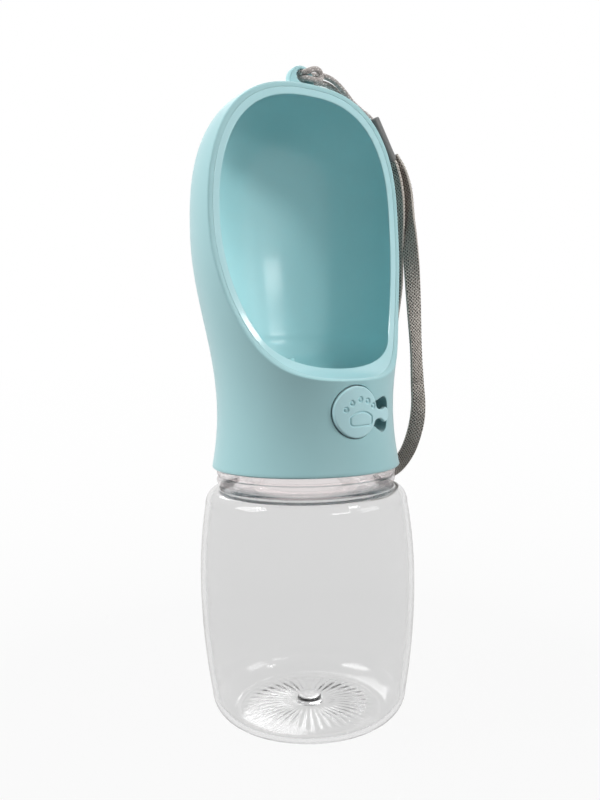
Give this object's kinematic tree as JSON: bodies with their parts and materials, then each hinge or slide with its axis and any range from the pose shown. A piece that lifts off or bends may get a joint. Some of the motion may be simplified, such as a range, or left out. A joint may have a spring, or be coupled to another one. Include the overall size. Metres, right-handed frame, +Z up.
{
  "type": "travel water bottle",
  "caption": "Dog travel water bottle: a clear bottle under a leaf-shaped drinking trough with a sprung push-button valve and a wrist strap.",
  "frame": {"origin": "middle of the bottle's base, on the surface that it stands on", "axes": "+Z up through the neck, the open trough and the button face -Y, the strap hangs on the +X side"},
  "size_m": [0.0935, 0.0724, 0.2105],
  "materials": {
    "clear_plastic": "clear moulded plastic",
    "pale_silicone": "soft translucent silicone",
    "collar_plastic": "moulded plastic",
    "dark_rubber": "smooth seal rubber",
    "white_plastic": "moulded plastic",
    "grey_plastic": "moulded plastic",
    "spring_steel": "drawn stainless wire",
    "button_plastic": "fine matt moulded plastic",
    "liner_plastic": "satin moulded plastic",
    "shell_plastic": "fine matt moulded plastic",
    "cord_grey": "braided cord",
    "clamp_grey": "moulded plastic",
    "strap_webbing": "woven webbing, dark with pale dots"
  },
  "bodies": {
    "bottle": {"bottle": "clear_plastic"},
    "neck_seal": {"neck_gasket": "pale_silicone"},
    "head": {"thread_collar": "collar_plastic", "deck_o_ring": "dark_rubber", "valve_housing": "white_plastic", "front_bush": "white_plastic", "stem_seal": "dark_rubber", "barrel_plug": "white_plastic", "plug_o_ring": "dark_rubber", "outlet_nozzle": "pale_silicone", "trough_liner": "liner_plastic", "head_shell": "shell_plastic", "return_spring": "spring_steel", "lanyard_cord": "cord_grey", "strap_clamp": "clamp_grey", "wrist_strap": "strap_webbing"},
    "plunger": {"spool": "grey_plastic", "front_o_ring": "dark_rubber", "middle_o_ring": "dark_rubber", "rear_o_ring": "dark_rubber"},
    "button": {"button_cap": "button_plastic", "slip_washer": "white_plastic"}
  },
  "joints": [
    {"name": "head_lift", "type": "slide", "parent": "bottle", "child": "neck_seal", "axis": [0, 0, 1], "range_m": [0, 0.01]},
    {"name": "head_unscrew", "type": "hinge", "parent": "neck_seal", "child": "head", "pos_m": [0, 0, 0.0866], "axis": [0, 0, 1], "range_deg": [0, 900]},
    {"name": "button_press", "type": "slide", "parent": "head", "child": "plunger", "axis": [0, 1, 0], "range_m": [0, 0.003], "stiffness_N_per_m": 900, "springref_m": -0.0012, "deforming": ["return_spring"]},
    {"name": "button_turn", "type": "hinge", "parent": "plunger", "child": "button", "pos_m": [0, -0.0299, 0.10135], "axis": [0, -1, 0], "range_deg": [-13, 13]}
  ],
  "couplings": [
    {"joint": "head_lift", "follows": "head_unscrew", "m_per_rad": 0.00063662}
  ]
}
